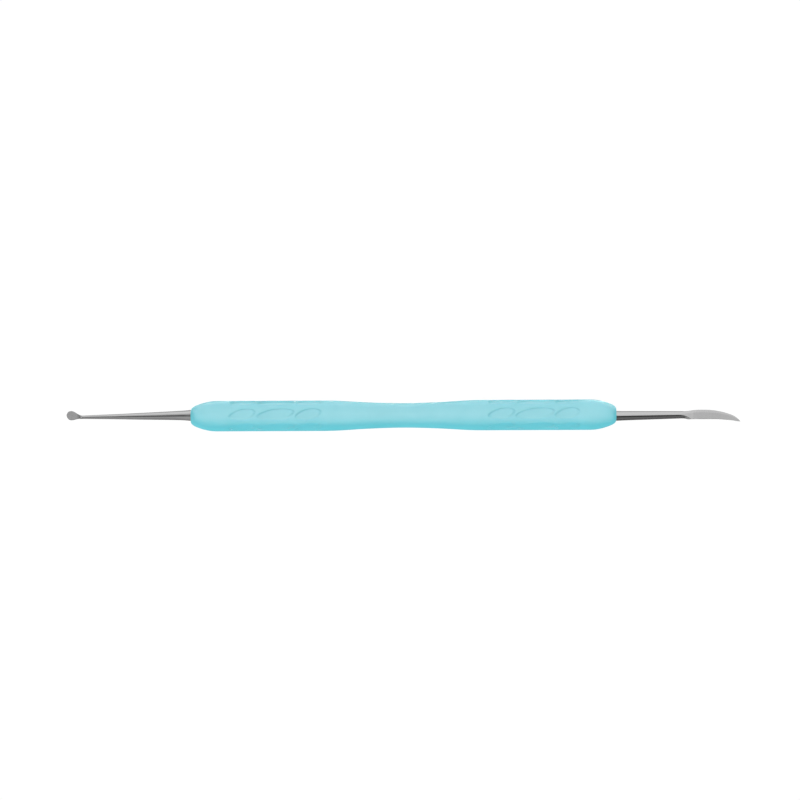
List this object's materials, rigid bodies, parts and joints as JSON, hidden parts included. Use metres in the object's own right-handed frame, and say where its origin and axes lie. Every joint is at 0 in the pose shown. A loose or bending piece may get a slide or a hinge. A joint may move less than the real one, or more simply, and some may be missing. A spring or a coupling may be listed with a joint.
{
  "type": "double-ended dental hand instrument",
  "caption": "Double-ended dental carver: soft waisted grip with leaf-shaped finger dimples, a small flat disc at one end and a curved pointed blade at the other.",
  "frame": {"origin": "centre of the instrument, on the axis of the grip", "axes": "+X along the instrument towards the blade end, -X towards the disc end; +Z square to the flat faces of both ends; +Y across them, away from the blade's heel"},
  "size_m": [0.1768, 0.008, 0.008],
  "materials": {
    "soft_grip": "satin moulded silicone, light aqua",
    "tip_steel": "satin stainless steel, finely ground along the shank and on the flats",
    "core_steel": "plain turned stainless steel"
  },
  "bodies": {
    "root": {"grip_sleeve": "soft_grip", "core_tube": "core_steel", "disc_end_bush": "core_steel", "blade_end_bush": "core_steel", "cross_pins": "core_steel", "disc_tip": "tip_steel", "blade_tip": "tip_steel"}
  },
  "joints": []
}
